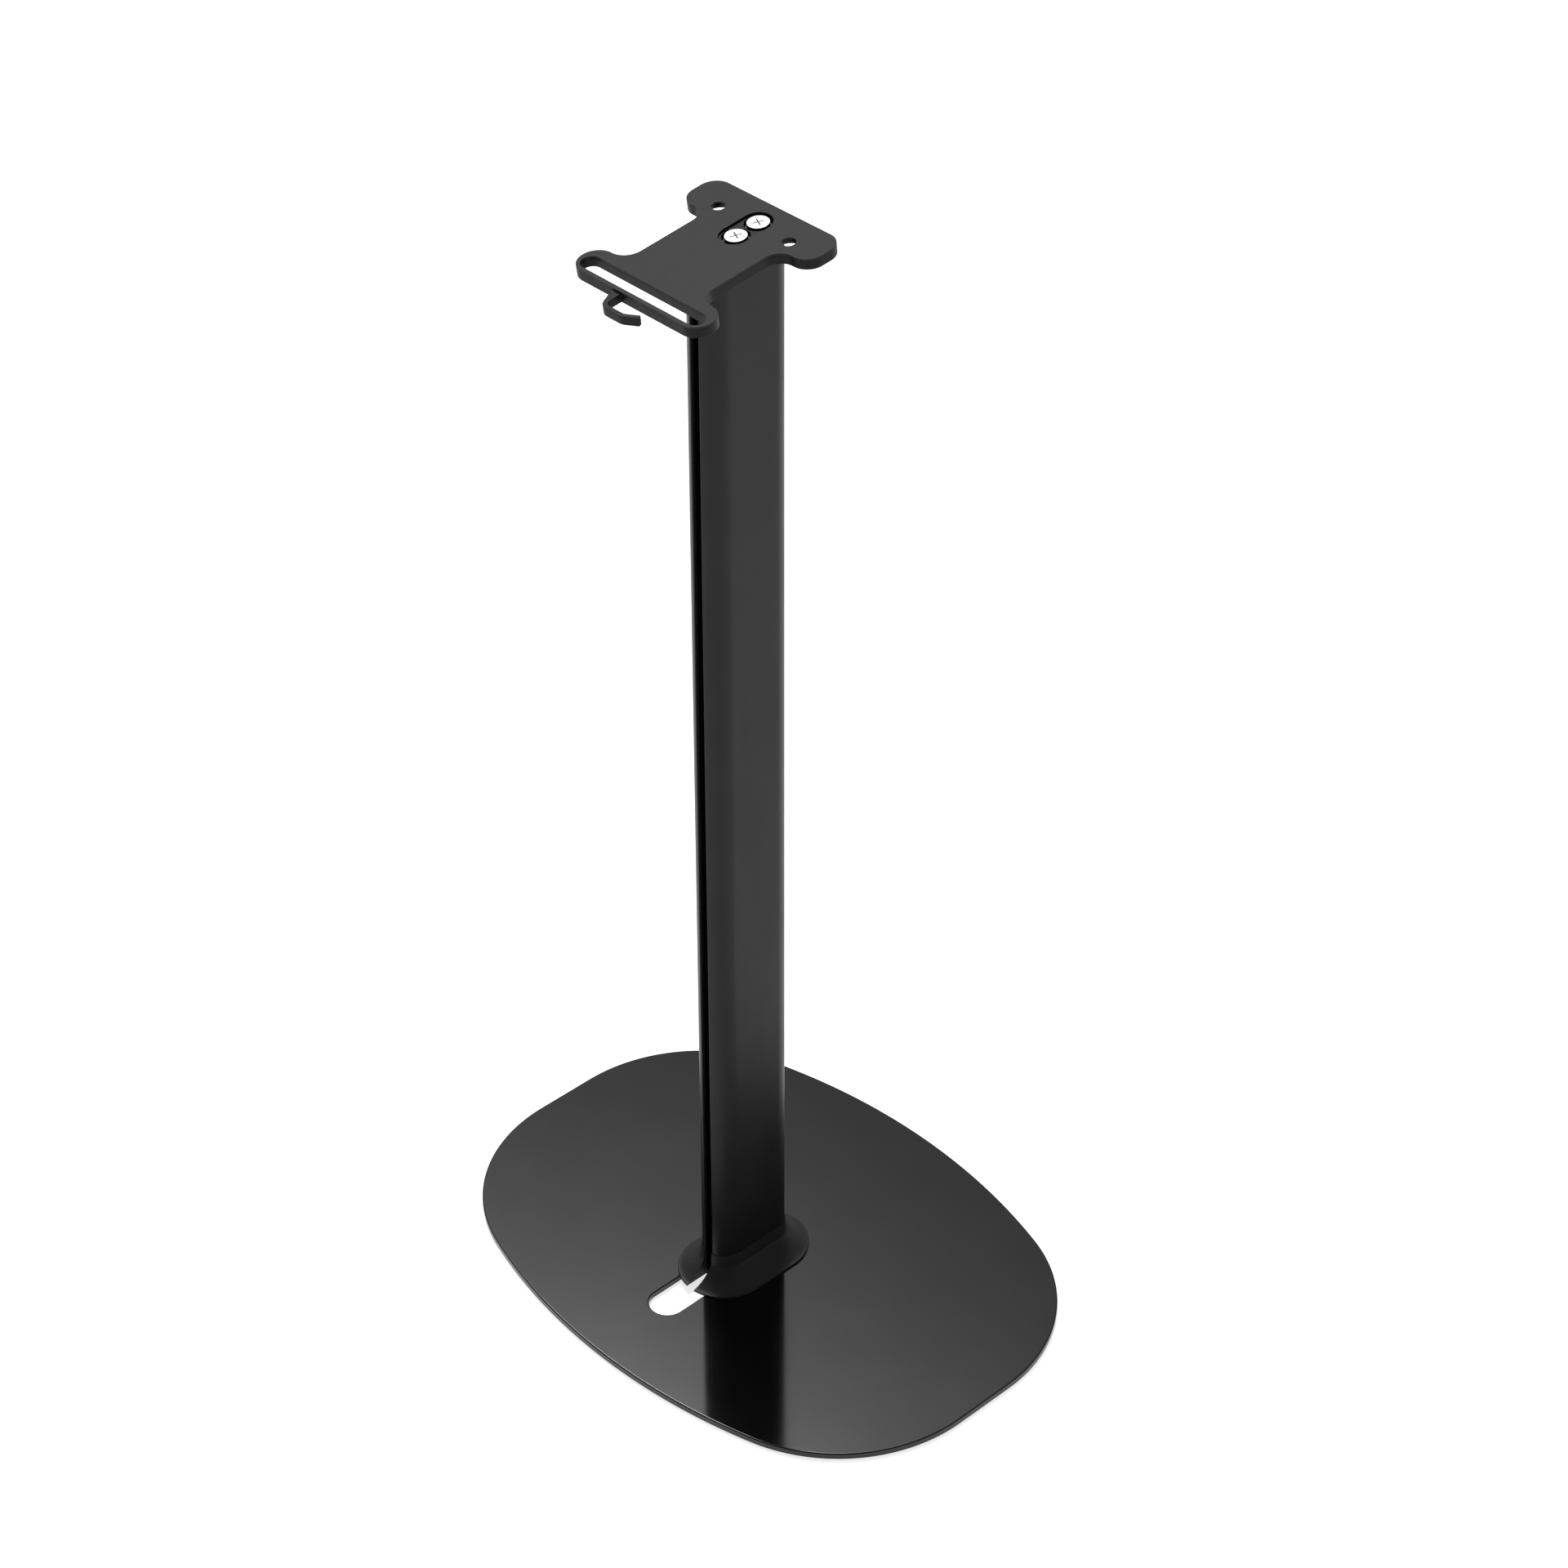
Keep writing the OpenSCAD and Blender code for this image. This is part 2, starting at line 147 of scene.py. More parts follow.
METAL_T = 4.9
PAD_T = 1.2
TOTAL_T = METAL_T + PAD_T
BRACKET_W = 94.6
BRACKET_LEN = 100.6
BRACKET_FRONT = 14.6
BRACKET_REAR = BRACKET_LEN - BRACKET_FRONT
FRONT_ARM_D = 25.7
FRONT_CORNER_R = 10
REAR_ARM_D = 20.5
WAIST_W = 53.3
FRONT_FILLET_R = 9
REAR_FILLET_R = 10.2
CABLE_SLOT_LEN = 88
CABLE_SLOT_W = 10.4
REAR_BAR_W = 2.8
SPEAKER_PITCH = 51.4
SPEAKER_Y = 3.3
SPEAKER_HOLE_D = 7.3
SPEAKER_RECESS_D = 15.6
SPEAKER_FLOOR_T = 1.4
WINDOW_W = 16.6
WINDOW_LEN = 32.1
WINDOW_Y = 8.4
HOLE_EDGE_R = 0.1
PAD_EDGE_R = 0.15
PAD_UNDER_R = 0.05

# Cable hook

HOOK_W = 2.8
HOOK_ROOT_W = 6.3
HOOK_X = 7.6
HOOK_GAP = 10.2
HOOK_BEND_R = 3.6
HOOK_RUN = 8.7
HOOK_TIP_R = 6
HOOK_TIP_TURN = 29
HOOK_TIP_LEN = 7.2
HOOK_ROOT_TURN = 24
HOOK_FOOT_R = 0.5
HOOK_TIP_OUT_R = 0.7
HOOK_TIP_IN_R = 0.4

# Levels and places on the bracket, from the pad's upper face and the front screw

METAL_TOP = -PAD_T
METAL_LOW = -TOTAL_T
SPEAKER_FLOOR_Z = METAL_TOP - SPEAKER_FLOOR_T
HEAD_LOW = -HEAD_SINK - HEAD_H
WASHER_LOW = HEAD_LOW - WASHER_T
SPEAKER_X = (-SPEAKER_PITCH / 2, SPEAKER_PITCH / 2)
TOP_SCREW_Y = (0, SCREW_PITCH)

# Upper screw heads

HEAD_EDGE_R = 0.15
HEAD_UNDER_R = 0.2
# Rise of the crown over the rounded rim
HEAD_EASE = 0.06
# Rings of the crown: inset, height under the top, slope in degrees
CROWN = ((1.3, 0.03, 89.7), (2.7, 0.0, 90))
# Levels of the cross: its arms' length, half width, depth, and how far its walls' normals lean up
CROSS = ((3.0, 0.29, 0.0, 0.9), (2.95, 0.26, 0.06, 0.3), (2.4, 0.22, 0.6, 0.25),
         (1.2, 0.18, 1.0, 0.5))
CROSS_TURN = -24
CROSS_CORNER_R = 0.08


# Outlines

# Points nearer than this are one
NEAREST = 1e-5


def arc(cx, cy, r, a0, a1, step=3.0):
    """Points on an arc, angles in degrees, clockwise where a1 is under a0."""
    n = max(2, int(abs(a1 - a0) / step))
    angles = [math.radians(a0 + (a1 - a0) * i / n) for i in range(n + 1)]
    return [(cx + r * math.cos(a), cy + r * math.sin(a)) for a in angles]


def corner(before, point, after, r, steps=6):
    """Points that round the corner between two straight lines."""
    p = Vector(point)
    d0 = (Vector(before) - p).normalized()
    d1 = (Vector(after) - p).normalized()
    half = d0.angle(d1) / 2
    reach = r / math.tan(half)
    middle = p + (d0 + d1).normalized() * (r / math.sin(half))
    a, b = p + d0 * reach - middle, p + d1 * reach - middle
    turn = a.angle_signed(b)
    out = []
    for i in range(steps + 1):
        v = a.copy()
        v.rotate(Matrix.Rotation(-turn * i / steps, 2))
        out.append(tuple(middle + v))
    return out


def spaced(points, step):
    """The closed outline with its long sides divided, and with no point twice."""
    out = []
    for i, p in enumerate(points):
        q = points[(i + 1) % len(points)]
        length = math.dist(p, q)
        if length < NEAREST:
            continue
        n = max(1, math.ceil(length / step))
        out += [(p[0] + (q[0] - p[0]) * k / n, p[1] + (q[1] - p[1]) * k / n) for k in range(n)]
    return out


def normals_of(loop):
    """Sideways normals of a closed outline, to the right of its direction."""
    out = []
    for i, p in enumerate(loop):
        a, b = Vector(loop[i - 1]), Vector(loop[(i + 1) % len(loop)])
        here = Vector(p)
        d = (here - a).normalized() + (b - here).normalized()
        out.append(Vector((d.y, -d.x)).normalized())
    return out


def circle(cx, cy, r, hole=False, step=3.0):
    points = arc(cx, cy, r, 0, 360, step)[:-1]
    return points[::-1] if hole else points


def flipped(points):
    """Mirror image in x, with the order turned round so its direction stays."""
    return [(-x, y) for x, y in reversed(points)]


def cross_slot(width, x0, x1, y):
    """A hole with two round ends, laid along x."""
    r = width / 2
    return (arc(x1 - r, y, r, -90, 90) + arc(x0 + r, y, r, 90, 270))[::-1]


def long_slot(width, x, y0, y1):
    """A hole with two round ends, laid along y."""
    r = width / 2
    return (arc(x, y0 + r, r, 180, 360) + arc(x, y1 - r, r, 0, 180))[::-1]


# Meshes

# Kind of faces that the triangulation returns, and its tolerance
INSIDE_WITH_HOLES = 2
TOLERANCE = 1e-6


class Shape:
    """Vertices with their own normals, and faces."""

    def __init__(self):
        self.verts, self.normals, self.faces = [], [], []

    def ring(self, rows):
        """Adds rows of (point, normal) and returns their numbers."""
        start = len(self.verts)
        for co, normal in rows:
            self.verts.append(Vector(co))
            self.normals.append(Vector(normal).normalized())
        return list(range(start, start + len(rows)))

    def inset_ring(self, loop, side, inset, z, slope):
        """The outline drawn in by a distance, with normals that lean up by the slope."""
        flat, up = math.cos(slope), math.sin(slope)
        return self.ring([((x - n.x * inset, y - n.y * inset, z), (n.x * flat, n.y * flat, up))
                          for (x, y), n in zip(loop, side)])

    def points(self, ring):
        return [tuple(self.verts[i]) for i in ring]

    def join(self, low, high, closed=True):
        """Faces between two rings of as many points."""
        n = len(low)
        for i in range(n if closed else n - 1):
            j = (i + 1) % n
            self.faces.append((low[i], low[j], high[j], high[i]))

    def cap(self, loops, normal):
        """Fills between loops of (x, y, z) points that lie in one plane, level or nearly so."""
        rings = [self.ring([(co, normal) for co in loop]) for loop in loops]
        start = rings[0][0]
        flat = [self.verts[i].xy for ring in rings for i in ring]
        areas = [[i - start for i in ring] for ring in rings]
        found = delaunay_2d_cdt(flat, [], areas, INSIDE_WITH_HOLES, TOLERANCE)
        faces, source = found[2], found[3]
        for face in faces:
            ids = [source[k][0] + start for k in face]
            self.faces.append(tuple(ids if normal[2] > 0 else reversed(ids)))

    def build(self, name, matrix=None):
        """Makes the object in metres, with the shape's own normals."""
        matrix = matrix or Matrix.Identity(4)
        turn = matrix.to_3x3()
        mesh = bpy.data.meshes.new(name)
        mesh.from_pydata([matrix @ v * MM for v in self.verts], [], self.faces)
        mesh.shade_smooth()
        mesh.normals_split_custom_set_from_vertices([turn @ n for n in self.normals])
        mesh.validate(clean_customdata=False)
        obj = bpy.data.objects.new(name, mesh)
        bpy.context.scene.collection.objects.link(obj)
        return obj


def round_steps(z_low, z_high, r_low, r_high, steps):
    """(inset, height, slope) down the side of a plate with rounded edges."""
    rows = []
    if r_low > 0:
        for i in range(steps + 1):
            a = math.radians(-90 + 90 * i / steps)
            rows.append((r_low * (1 - math.cos(a)), z_low + r_low * (1 + math.sin(a)), a))
    else:
        rows.append((0, z_low, 0))
    if r_high > 0:
        for i in range(steps + 1):
            a = math.radians(90 * i / steps)
            rows.append((r_high * (1 - math.cos(a)), z_high - r_high * (1 - math.sin(a)), a))
    else:
        rows.append((0, z_high, 0))
    return rows


def side_wall(shape, loop, z_low, z_high, r_low=0, r_high=0, steps=1):
    """Wall along an outline or hole with rounded edges; returns its lowest and highest loop."""
    side = normals_of(loop)
    rings = [shape.inset_ring(loop, side, *row)
             for row in round_steps(z_low, z_high, r_low, r_high, steps)]
    for low, high in zip(rings, rings[1:]):
        shape.join(low, high)
    return shape.points(rings[0]), shape.points(rings[-1])


def plate(loops, z_low, z_high, r_low, r_high, steps):
    """A plate between two heights: the first loop is its outline, the others are holes."""
    shape = Shape()
    walls = [side_wall(shape, loop, z_low, z_high, r_low, r_high, steps) for loop in loops]
    shape.cap([low for low, _ in walls], (0, 0, -1))
    shape.cap([high for _, high in walls], (0, 0, 1))
    return shape


def tilted():
    """The bracket's frame: over the front screw, on the pad's upper face."""
    return Matrix.Translation((0, FRONT_Y, STAND_H)) @ Matrix.Rotation(math.radians(-TILT), 4, "X")


# Materials

# The noise's values mostly lie between these
NOISE_LOW, NOISE_HIGH = 0.3, 0.7
# Share by which a metal's roughness varies
METAL_SPREAD = 0.03


class Nodes:
    """A material's node tree, laid out as it is built."""

    def __init__(self, name):
        self.material = bpy.data.materials.new(name)
        self.material.use_nodes = True
        self.tree = self.material.node_tree
        self.tree.nodes.clear()
        out = self.add("ShaderNodeOutputMaterial")
        self.shader = self.add("ShaderNodeBsdfPrincipled")
        self.link(self.shader.outputs[0], out.inputs["Surface"])
        self.relief = None

    def add(self, kind, **sockets):
        node = self.tree.nodes.new(kind)
        for key, value in sockets.items():
            node.inputs[key.replace("_", " ")].default_value = value
        return node

    def link(self, a, b):
        self.tree.links.new(a, b)

    def noise(self, scale, detail=3.0, rough=0.5, stretch=(1, 1, 1)):
        place = self.add("ShaderNodeTexCoord")
        grid = self.add("ShaderNodeMapping")
        grid.inputs["Scale"].default_value = stretch
        self.link(place.outputs["Object"], grid.inputs["Vector"])
        node = self.add("ShaderNodeTexNoise", Scale=scale, Detail=detail, Roughness=rough)
        self.link(grid.outputs[0], node.inputs["Vector"])
        return node.outputs[0]

    def roughness(self, value, low, high):
        """Roughness that goes from low to high with the noise."""
        node = self.add("ShaderNodeMapRange", From_Min=NOISE_LOW, From_Max=NOISE_HIGH,
                        To_Min=low, To_Max=high)
        self.link(value, node.inputs["Value"])
        self.link(node.outputs[0], self.shader.inputs["Roughness"])

    def colour(self, value, base, below, above):
        """Base colour that goes from a share below to a share above with the noise."""
        node = self.add("ShaderNodeValToRGB")
        for element, place, share in zip(node.color_ramp.elements, (NOISE_LOW, NOISE_HIGH),
                                         (1 - below, 1 + above)):
            element.position = place
            element.color = (*[c * share for c in base], 1)
        self.link(value, node.inputs[0])
        self.link(node.outputs[0], self.shader.inputs["Base Color"])

    def bump(self, value, strength, distance):
        """Adds fine relief over the relief so far; the distance is in metres."""
        node = self.add("ShaderNodeBump", Strength=strength, Distance=distance)
        self.link(value, node.inputs["Height"])
        if self.relief:
            self.link(self.relief, node.inputs["Normal"])
        self.relief = node.outputs[0]
        self.link(self.relief, self.shader.inputs["Normal"])

    def set(self, **sockets):
        for key, value in sockets.items():
            self.shader.inputs[key.replace("_", " ")].default_value = value


def gloss_paint(colour):
    m = Nodes("gloss_black")
    m.set(Base_Color=(*colour, 1), IOR=1.485)
    m.roughness(m.noise(14, detail=5, rough=0.6), low=0.07, high=0.1)
    m.bump(m.noise(9, detail=2), strength=0.05, distance=0.0004)
    m.bump(m.noise(420, detail=2), strength=0.05, distance=0.00002)
    return m.material


def satin_coat(colour):
    m = Nodes("satin_black")
    m.set(IOR=1.26)
    m.colour(m.noise(30, detail=4), colour, below=0.1, above=0.1)
    m.roughness(m.noise(60, detail=5, rough=0.6, stretch=(1, 1, 0.2)), low=0.33, high=0.42)
    m.bump(m.noise(900, detail=2, stretch=(1, 1, 0.02)), strength=0.12, distance=0.00004)
    m.bump(m.noise(5200, detail=2), strength=0.12, distance=0.00002)
    return m.material


def powder_coat(colour):
    m = Nodes("powder_black")
    m.set(IOR=1.25)
    m.colour(m.noise(1800, detail=2), colour, below=0.2, above=0.2)
    m.roughness(m.noise(220, detail=4, rough=0.6), low=0.42, high=0.5)
    m.bump(m.noise(1300, detail=2), strength=0.08, distance=0.00005)
    m.bump(m.noise(3200, detail=3, rough=0.6), strength=0.12, distance=0.00004)
    return m.material


def grip_sheet(colour):
    m = Nodes("grip_sheet")
    m.set(IOR=1.28)
    m.colour(m.noise(2400, detail=2, rough=0.7), colour, below=0.3, above=0.3)
    m.roughness(m.noise(1700, detail=3, rough=0.6), low=0.44, high=0.54)
    m.bump(m.noise(1500, detail=2), strength=0.2, distance=0.00007)
    m.bump(m.noise(3600, detail=3, rough=0.7), strength=0.3, distance=0.00006)
    return m.material


def moulded(name, colour):
    m = Nodes(name)
    m.set(IOR=1.26)
    m.colour(m.noise(50, detail=4), colour, below=0.1, above=0.1)
    m.roughness(m.noise(120, detail=4), low=0.36, high=0.46)
    m.bump(m.noise(1900, detail=2, rough=0.6), strength=0.2, distance=0.00005)
    return m.material


def metal(name, colour, rough, grain):
    m = Nodes(name)
    m.set(Metallic=1.0)
    m.colour(m.noise(300, detail=4), colour, below=0.04, above=0.0)
    m.roughness(m.noise(700, detail=4, rough=0.6), low=rough * (1 - METAL_SPREAD),
                high=rough * (1 + METAL_SPREAD))
    m.bump(m.noise(1600, detail=3), strength=grain, distance=0.00003)
    return m.material


def dress(obj, material, slot, *nodes):
    """Gives a new piece its coat and body, in place of its CAD nodes; its slot argument is not
    used.
    """
    obj.data.materials.clear()
    obj.data.materials.append(material)
    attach(obj, "root")
    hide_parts(*nodes)
    return obj


# Settings


class StandBase(bpy.types.PropertyGroup):
    width: bpy.props.FloatProperty(
        name="Width", description="Width of the base plate", unit="LENGTH",
        default=(BASE_HIGH[0] - BASE_LOW[0]) * MM)
    depth: bpy.props.FloatProperty(
        name="Depth", description="Depth of the base plate", unit="LENGTH",
        default=(BASE_HIGH[1] - BASE_LOW[1]) * MM)
    colour: bpy.props.FloatVectorProperty(
        name="Lacquer", description="Colour of the gloss lacquer", subtype="COLOR", size=3,
        default=(0.0035, 0.0035, 0.0037))


class StandColumn(bpy.types.PropertyGroup):
    lip: bpy.props.FloatProperty(
        name="Slit edge", description="Rounding of the slit's edges", default=0.00045,
        unit="LENGTH")
    colour: bpy.props.FloatVectorProperty(
        name="Coat", description="Colour of the column's satin coat", subtype="COLOR", size=3,
        default=(0.013, 0.013, 0.0134))
    collar: bpy.props.FloatVectorProperty(
        name="Collar", description="Colour of the moulded foot collar", subtype="COLOR", size=3,
        default=(0.025, 0.025, 0.0254))


class StandBracket(bpy.types.PropertyGroup):
    edge: bpy.props.FloatProperty(
        name="Edge", description="Rounding of the metal plate's edges", default=0.0002,
        unit="LENGTH")
    metal: bpy.props.FloatVectorProperty(
        name="Powder coat", description="Colour of the metal plate", subtype="COLOR", size=3,
        default=(0.004, 0.004, 0.0041))
    pad: bpy.props.FloatVectorProperty(
        name="Grip sheet", description="Colour of the grip sheet", subtype="COLOR", size=3,
        default=(0.0075, 0.0075, 0.0076))


class StandStudio(bpy.types.PropertyGroup):
    floor: bpy.props.FloatProperty(
        name="Floor", description="Brightness of the pale floor", default=1.0)
    sky: bpy.props.FloatProperty(
        name="Surround", description="Brightness of the studio's surround", default=1.0)


# Pieces


def base_outline(width, depth):
    """One quarter at a time: a bowed long edge, a large round corner, a straight side."""
    cx, bow_y = width / 2 - BASE_CORNER_R, depth / 2 - BASE_BOW_R
    cy = bow_y + math.sqrt((BASE_BOW_R - BASE_CORNER_R) ** 2 - cx ** 2)
    turn = math.degrees(math.atan2(cx, cy - bow_y))
    rear = arc(0, bow_y, BASE_BOW_R, 90 - turn, 90 + turn, step=0.4)
    right = arc(cx, cy, BASE_CORNER_R, 0, 90 - turn, step=1.0)
    upper = right + rear[1:-1] + flipped(right)
    return spaced(upper + [(-x, -y) for x, y in upper], step=4.0)


def build_base(settings):
    slot = long_slot(SLOT_W, SLOT_X, SLOT_FRONT, SLOT_REAR)
    shape = Shape()
    tops, bottoms = [], []
    for loop in (base_outline(settings.width / MM, settings.depth / MM), spaced(slot, step=2.0)):
        low, high = side_wall(shape, loop, BASE_BOTTOM, BASE_TOP, BASE_UNDER_R, BASE_EDGE_R,
                              steps=8)
        bottoms.append(low)
        tops.append(high)
    cone_top = BASE_BOTTOM + COUNTERSINK_R - SCREW_HOLE_R
    for y in BASE_SCREW_Y:
        wide = circle(0, y, COUNTERSINK_R, hole=True, step=6)
        narrow = circle(0, y, SCREW_HOLE_R, hole=True, step=6)
        cone = [shape.ring([((u, v, z), (-u, y - v, -math.hypot(u, y - v))) for u, v in loop])
                for loop, z in ((wide, BASE_BOTTOM), (narrow, cone_top))]
        shape.join(*cone)
        bottoms.append([(*p, BASE_BOTTOM) for p in wide])
        tops.append(side_wall(shape, narrow, cone_top, BASE_TOP)[1])
    shape.cap(tops, (0, 0, 1))
    shape.cap(bottoms, (0, 0, -1))
    return dress(shape.build("gloss_base_plate"), gloss_paint(settings.colour), "base_gloss",
                 "base_plate")


def column_outline(lip):
    """The column's wall round its front, with the rear channel and its open slit."""
    inner, slit = COLUMN_R - COLUMN_WALL, SLIT_W / 2
    out_edge = (slit, REAR_Y + math.sqrt(COLUMN_R ** 2 - slit ** 2))
    in_edge = (slit, REAR_Y + math.sqrt(inner ** 2 - slit ** 2))
    out_end, in_end = [math.degrees(math.acos((slit + 2 * lip) / r)) for r in (COLUMN_R, inner)]
    outer = arc(0, REAR_Y, COLUMN_R, 0, out_end, step=1.5)
    bore = arc(0, REAR_Y, inner, in_end, 0, step=1.5)
    right = outer + corner(outer[-1], out_edge, in_edge, lip)
    right += corner(out_edge, in_edge, bore[0], lip) + bore
    right += corner(bore[-1], (inner, CHANNEL_Y), (0, CHANNEL_Y), CHANNEL_CORNER_R)
    front = arc(0, FRONT_Y, COLUMN_R, 180, 360, step=1.5)
    return spaced(front + right + flipped(right), step=3.0)


def build_column(settings):
    loop = column_outline(settings.lip / MM)
    side = normals_of(loop)
    lean = math.tan(math.radians(TILT))
    top = STAND_H - TOTAL_T / math.cos(math.radians(TILT))
    shape = Shape()
    rings = []
    for share in COLUMN_SHARES:
        rings.append(shape.ring([
            ((x, y, BASE_TOP + share * (top - (y - FRONT_Y) * lean - BASE_TOP)), (n.x, n.y, 0))
            for (x, y), n in zip(loop, side)]))
    for low, high in zip(rings, rings[1:]):
        shape.join(low, high)
    shape.cap([shape.points(rings[0])], (0, 0, -1))
    shape.cap([shape.points(rings[-1])], (0, lean, 1))
    return dress(shape.build("satin_column"), satin_coat(settings.colour), "column_satin",
                 "column")


def on_arc(x, z, radius, angle):
    """The point of a hollow curve where its slope is the angle, from the curve's centre."""
    return x - radius * math.sin(angle), z - radius * math.cos(angle)


def collar_skin():
    """(distance from the round ends' centres, height over the plate), from the foot up."""
    rim_x = COLUMN_R + COLLAR_SPREAD
    slope, first, last = map(math.radians, (CURVE_SLOPE, RIM_SLOPE, EASE_SLOPE))
    cx = rim_x + COLLAR_CURVE_R * math.sin(slope)
    cz = COLLAR_RIM_T + COLLAR_CURVE_R * math.cos(slope)
    end = math.asin((cx - COLUMN_R - COLLAR_GAP - COLLAR_LIP) / COLLAR_CURVE_R)
    joint = on_arc(cx, cz, COLLAR_CURVE_R, last)
    edge_x = rim_x - RIM_ROUND * (1 - math.sin(first))
    flat_r = (edge_x - joint[0]) / (math.sin(last) - math.sin(first))
    fx, fz = on_arc(*joint, -flat_r, last)
    mx, mz = on_arc(*on_arc(fx, fz, flat_r, first), RIM_ROUND, first)
    points = [(rim_x - FOOT_ROUND, 0.0), (rim_x, FOOT_ROUND)]
    points += [(mx + RIM_ROUND * math.cos(b), mz + RIM_ROUND * math.sin(b))
               for b in [(math.pi / 2 - first) * k / RIM_STEPS for k in range(RIM_STEPS + 1)]]
    points += [on_arc(fx, fz, flat_r, first + (last - first) * k / RIM_STEPS)
               for k in range(1, RIM_STEPS + 1)]
    points += [on_arc(cx, cz, COLLAR_CURVE_R, last + (end - last) * k / CURVE_STEPS)
               for k in range(1, CURVE_STEPS + 1)]
    return points + [(COLUMN_R + thick, z) for thick, z in SLEEVE]


def collar_path(rho):
    """Points and normals at one distance round the column, from cut to cut."""
    end = math.acos(COLLAR_SLIT_W / 2 / rho)

    def turned(y, angles):
        return [(rho * math.cos(a), y + rho * math.sin(a), math.cos(a), math.sin(a))
                for a in angles]

    rear = turned(REAR_Y, [end * (1 - k / REAR_STEPS) for k in range(REAR_STEPS + 1)])
    right = [(rho, REAR_Y - (REAR_Y - FRONT_Y) * k / FLAT_STEPS, 1, 0)
             for k in range(1, FLAT_STEPS)]
    front = turned(FRONT_Y, [-math.pi * k / FRONT_STEPS for k in range(FRONT_STEPS + 1)])
    return rear + right + front + [(-x, y, -nx, ny) for x, y, nx, ny in reversed(rear + right)]


def build_collar(settings):
    skin = collar_skin()
    inner = COLUMN_R + COLLAR_GAP
    bands = [skin, [skin[-1], (inner, COLLAR_H)], [(inner, COLLAR_H), (inner, 0.0)],
             [(inner, 0.0), skin[0]]]
    shape = Shape()
    for band in bands:
        rings = []
        for k, (rho, z) in enumerate(band):
            before, after = band[max(k - 1, 0)], band[min(k + 1, len(band) - 1)]
            out, up = after[1] - before[1], before[0] - after[0]
            rings.append(shape.ring([((x, y, BASE_TOP + z), (nx * out, ny * out, up))
                                     for x, y, nx, ny in collar_path(rho)]))
        for low, high in zip(rings, rings[1:]):
            shape.join(high, low, closed=False)
    cut = COLLAR_SLIT_W / 2
    for side in (1, -1):
        face = [(side * cut, REAR_Y + math.sqrt(rho ** 2 - cut ** 2), BASE_TOP + z)
                for rho, z in skin + [(inner, COLLAR_H), (inner, 0.0)]]
        ring = shape.ring([(co, (-side, 0, 0)) for co in face])
        shape.faces.append(tuple(ring if side < 0 else reversed(ring)))
    return dress(shape.build("moulded_collar"), moulded("moulded_black", settings.collar),
                 "collar_plastic", "foot_collar")


def arms_outline():
    """The bracket's right side, from its front corner round both arms to the rear edge."""
    x, waist, rear_r = BRACKET_W / 2, WAIST_W / 2, REAR_ARM_D / 2
    arm_rear, arm_front = FRONT_ARM_D - BRACKET_FRONT, BRACKET_REAR - REAR_ARM_D
    return (arc(x - FRONT_CORNER_R, FRONT_CORNER_R - BRACKET_FRONT, FRONT_CORNER_R, -90, 0)
            + arc(x - FRONT_CORNER_R, arm_rear - FRONT_CORNER_R, FRONT_CORNER_R, 0, 90)
            + arc(waist + FRONT_FILLET_R, arm_rear + FRONT_FILLET_R, FRONT_FILLET_R, 270, 180)
            + arc(waist + REAR_FILLET_R, arm_front - REAR_FILLET_R, REAR_FILLET_R, 180, 90)
            + arc(x - rear_r, BRACKET_REAR - rear_r, rear_r, -90, 90))


def hook_outline():
    """From the root's right foot, round the hook, to its left foot on the rear edge."""
    bend_x, bend_y = HOOK_X - HOOK_BEND_R, BRACKET_REAR + HOOK_GAP - HOOK_BEND_R
    tip_x, tip_y = bend_x - HOOK_RUN, BRACKET_REAR + HOOK_GAP - HOOK_TIP_R
    turn = 90 + HOOK_TIP_TURN
    ahead = Vector((-math.sin(math.radians(turn)), math.cos(math.radians(turn)))) * HOOK_TIP_LEN
    outer = (arc(bend_x, bend_y, HOOK_BEND_R + HOOK_W, HOOK_ROOT_TURN, 90)
             + arc(tip_x, tip_y, HOOK_TIP_R + HOOK_W, 90, turn))
    inner = arc(tip_x, tip_y, HOOK_TIP_R, turn, 90) + arc(bend_x, bend_y, HOOK_BEND_R, 90, 0)
    tip_out, tip_in = Vector(outer[-1]) + ahead, Vector(inner[0]) + ahead
    edge_x = (BRACKET_W - REAR_ARM_D) / 2
    root = corner((edge_x, BRACKET_REAR), (HOOK_X + HOOK_ROOT_W, BRACKET_REAR), outer[0],
                  HOOK_FOOT_R)
    tip = (corner(outer[-1], tip_out, tip_in, HOOK_TIP_OUT_R)
           + corner(tip_out, tip_in, inner[0], HOOK_TIP_IN_R))
    foot = corner((HOOK_X, bend_y), (HOOK_X, BRACKET_REAR), (-edge_x, BRACKET_REAR), HOOK_FOOT_R)
    return root + outer + tip + inner + foot


def bracket_loops(hook):
    """The bracket's outline and its cable slot."""
    side = arms_outline()
    outline = side + (hook_outline() if hook else []) + flipped(side)
    slot = cross_slot(CABLE_SLOT_W, -CABLE_SLOT_LEN / 2, CABLE_SLOT_LEN / 2,
                      BRACKET_REAR - REAR_BAR_W - CABLE_SLOT_W / 2)
    return [spaced(outline, step=1.5), spaced(slot, step=2.0)]


def stepped_hole(shape, x, y, upper_r, lower_r, step_z, edge_r):
    """A hole in the metal with two radii; returns its loop below and its loop above."""
    upper = circle(x, y, upper_r, hole=True)
    lower = circle(x, y, lower_r, hole=True)
    step_high, top = side_wall(shape, upper, step_z, METAL_TOP, edge_r, edge_r, steps=3)
    bottom, step_low = side_wall(shape, lower, METAL_LOW, step_z, edge_r, edge_r, steps=3)
    wide, narrow = (step_high, step_low) if upper_r > lower_r else (step_low, step_high)
    shape.cap([wide[::-1], narrow], (0, 0, upper_r - lower_r))
    return bottom, top


